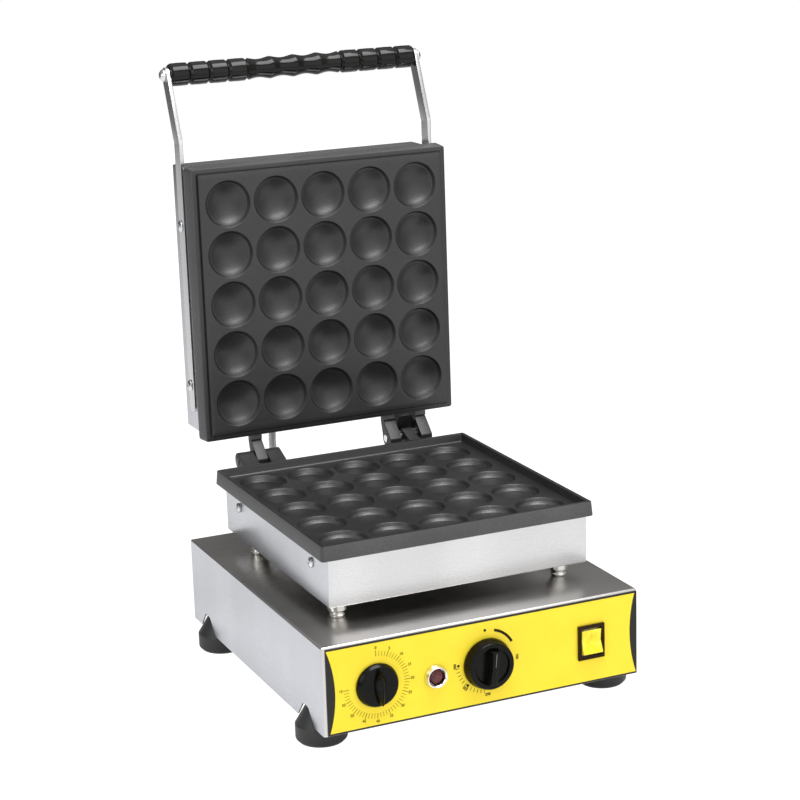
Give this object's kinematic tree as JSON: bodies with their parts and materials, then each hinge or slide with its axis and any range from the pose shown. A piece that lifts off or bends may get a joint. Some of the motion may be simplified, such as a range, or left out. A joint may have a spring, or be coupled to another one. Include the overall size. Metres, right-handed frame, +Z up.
{
  "type": "bubble waffle maker",
  "caption": "Countertop bubble waffle maker: steel base with dials and a rocker switch, raised cooking head with a cupped cast plate, and a hinged matching lid on a long barred handle.",
  "frame": {"origin": "centre of the bounding box at the floor, with the lid open as the part is stored", "axes": "+X to the operator's right, +Y from the controls to the hinge, +Z up from the feet"},
  "size_m": [0.3286, 0.4304, 0.5603],
  "materials": {
    "brushed_stainless": "satin brushed sheet",
    "non_stick_casting": "grey non-stick coating on a casting",
    "yellow_fascia": "printed yellow film",
    "rocker_yellow": "translucent yellow",
    "black_plastic": "gloss moulded",
    "black_rubber": "matt moulded",
    "nickel_plate": "bright nickel",
    "zinc_plate": "bright zinc",
    "red_lens": "translucent red",
    "ceramic_wool": "fibrous board",
    "ceramic": "glazed ceramic",
    "copper_tube": "drawn copper",
    "glass_sleeving": "woven glass sleeving",
    "braided_steel": "braided conduit"
  },
  "bodies": {
    "base": {"base_housing": "brushed_stainless", "front_fascia": "yellow_fascia", "back_panel": "brushed_stainless", "bottom_cover": "brushed_stainless", "foot_front_left": "black_rubber", "foot_front_right": "black_rubber", "foot_rear_left": "black_rubber", "foot_rear_right": "black_rubber", "cable_gland": "black_plastic", "timer_body": "black_plastic", "timer_nut": "zinc_plate", "thermostat_body": "black_plastic", "thermostat_nut": "zinc_plate", "thermostat_bulb": "copper_tube", "lamp_housing": "nickel_plate", "lamp_lens": "red_lens", "switch_housing": "black_plastic", "terminal_block": "ceramic", "supply_loom": "glass_sleeving", "standoff_front_left": "nickel_plate", "standoff_front_right": "nickel_plate", "standoff_rear_left": "nickel_plate", "standoff_rear_right": "nickel_plate", "head_housing": "brushed_stainless", "head_screw_front_left": "zinc_plate", "head_screw_front_right": "zinc_plate", "head_screw_rear_left": "zinc_plate", "head_screw_rear_right": "zinc_plate", "lower_plate": "non_stick_casting", "lower_heater": "zinc_plate", "lower_heater_clamp": "brushed_stainless", "lower_clamp_screw": "zinc_plate", "lower_insulation": "ceramic_wool", "hinge_pin_left": "zinc_plate", "hinge_pin_right": "zinc_plate", "lid_conduit": "braided_steel", "conduit_fitting_head": "nickel_plate"},
    "lid": {"upper_plate": "non_stick_casting", "lid_housing": "brushed_stainless", "upper_heater": "zinc_plate", "upper_heater_clamp": "brushed_stainless", "upper_clamp_screw": "zinc_plate", "upper_insulation": "ceramic_wool", "conduit_fitting_lid": "nickel_plate", "arm_left": "brushed_stainless", "arm_right": "brushed_stainless", "arm_screw_front_left": "zinc_plate", "arm_screw_front_right": "zinc_plate", "arm_screw_rear_left": "zinc_plate", "arm_screw_rear_right": "zinc_plate", "handle_rod": "zinc_plate", "handle_grip": "black_plastic", "handle_nut_left": "zinc_plate", "handle_nut_right": "zinc_plate"},
    "timer_dial": {"timer_knob": "black_plastic", "timer_shaft": "zinc_plate"},
    "thermostat_dial": {"thermostat_knob": "black_plastic", "thermostat_shaft": "zinc_plate"},
    "rocker": {"switch_rocker": "rocker_yellow"}
  },
  "joints": [
    {"name": "lid_hinge", "type": "hinge", "parent": "base", "child": "lid", "pos_m": [0, 0.13619, 0.1747], "axis": [1, 0, 0], "range_deg": [0, 90.6], "deforming": ["lid_conduit"]},
    {"name": "timer_knob_turn", "type": "hinge", "parent": "base", "child": "timer_dial", "pos_m": [-0.1047, -0.19791, 0.059], "axis": [0, 1, 0], "range_deg": [0, 270]},
    {"name": "thermostat_knob_turn", "type": "hinge", "parent": "base", "child": "thermostat_dial", "pos_m": [0.002, -0.19791, 0.0587], "axis": [0, 1, 0], "range_deg": [-6, 264]},
    {"name": "switch_rocker_tilt", "type": "hinge", "parent": "base", "child": "rocker", "pos_m": [0.1063, -0.19801, 0.0597], "axis": [1, 0, 0], "range_deg": [0, 20]}
  ]
}
